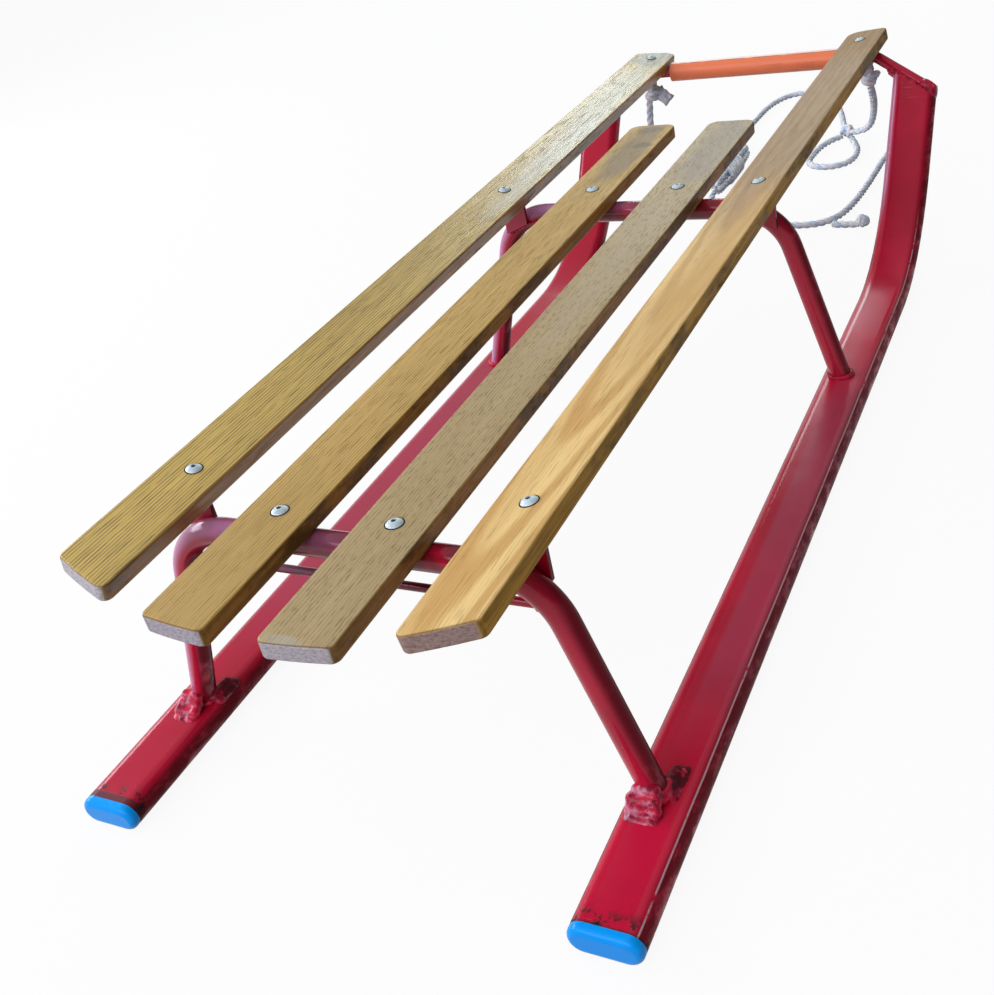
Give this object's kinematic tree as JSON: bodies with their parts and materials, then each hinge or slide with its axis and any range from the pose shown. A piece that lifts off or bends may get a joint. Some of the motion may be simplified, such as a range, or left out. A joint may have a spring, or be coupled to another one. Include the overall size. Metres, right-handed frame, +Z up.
{
  "type": "wooden sled",
  "caption": "Child's sled with ash slats on bent steel tube bows, flat-oval steel runners swept up at the front, a sleeved nose bar and a tow rope.",
  "frame": {"origin": "on the ground under the middle of the box of the sled without its rope", "axes": "+X the sled's right seen from behind, +Y forward towards the nose bar, +Z up"},
  "size_m": [0.3574, 1.3623, 0.1904],
  "materials": {
    "red_paint": "gloss, worn",
    "blue_plastic": "gloss",
    "orange_sleeve": "satin",
    "ash": "weathered varnish",
    "zinc": "dull zinc",
    "rope": "twisted cord, blue and white"
  },
  "bodies": {
    "root": {"runner_left": "red_paint", "runner_right": "red_paint", "end_plug_left": "blue_plastic", "end_plug_right": "blue_plastic", "rear_bow": "red_paint", "front_bow": "red_paint", "tie_rod": "red_paint", "rear_slat_bracket_left": "red_paint", "rear_slat_bracket_right": "red_paint", "front_slat_bracket_left": "red_paint", "front_slat_bracket_right": "red_paint", "nose_bar": "red_paint", "nose_sleeve": "orange_sleeve", "inner_slat_left": "ash", "inner_slat_right": "ash", "outer_slat_left": "ash", "outer_slat_right": "ash", "rear_inner_rivet_left": "zinc", "rear_inner_rivet_right": "zinc", "front_inner_rivet_left": "zinc", "front_inner_rivet_right": "zinc", "rear_outer_rivet_left": "zinc", "rear_outer_rivet_right": "zinc", "front_outer_rivet_left": "zinc", "front_outer_rivet_right": "zinc", "nose_rivet_left": "zinc", "nose_rivet_right": "zinc", "tow_rope_right_knot": "rope", "tow_rope_left_knot": "rope", "tow_rope_cross_knot": "rope", "tow_rope_end_knot": "rope", "tow_rope_tail_knot": "rope", "tow_rope_left_end_knot": "rope", "tow_rope_hank": "rope", "tow_rope_lead": "rope", "tow_rope_loop": "rope", "tow_rope_arc": "rope", "tow_rope_tail": "rope", "tow_rope_end": "rope", "tow_rope_left_end": "rope"}
  },
  "joints": []
}
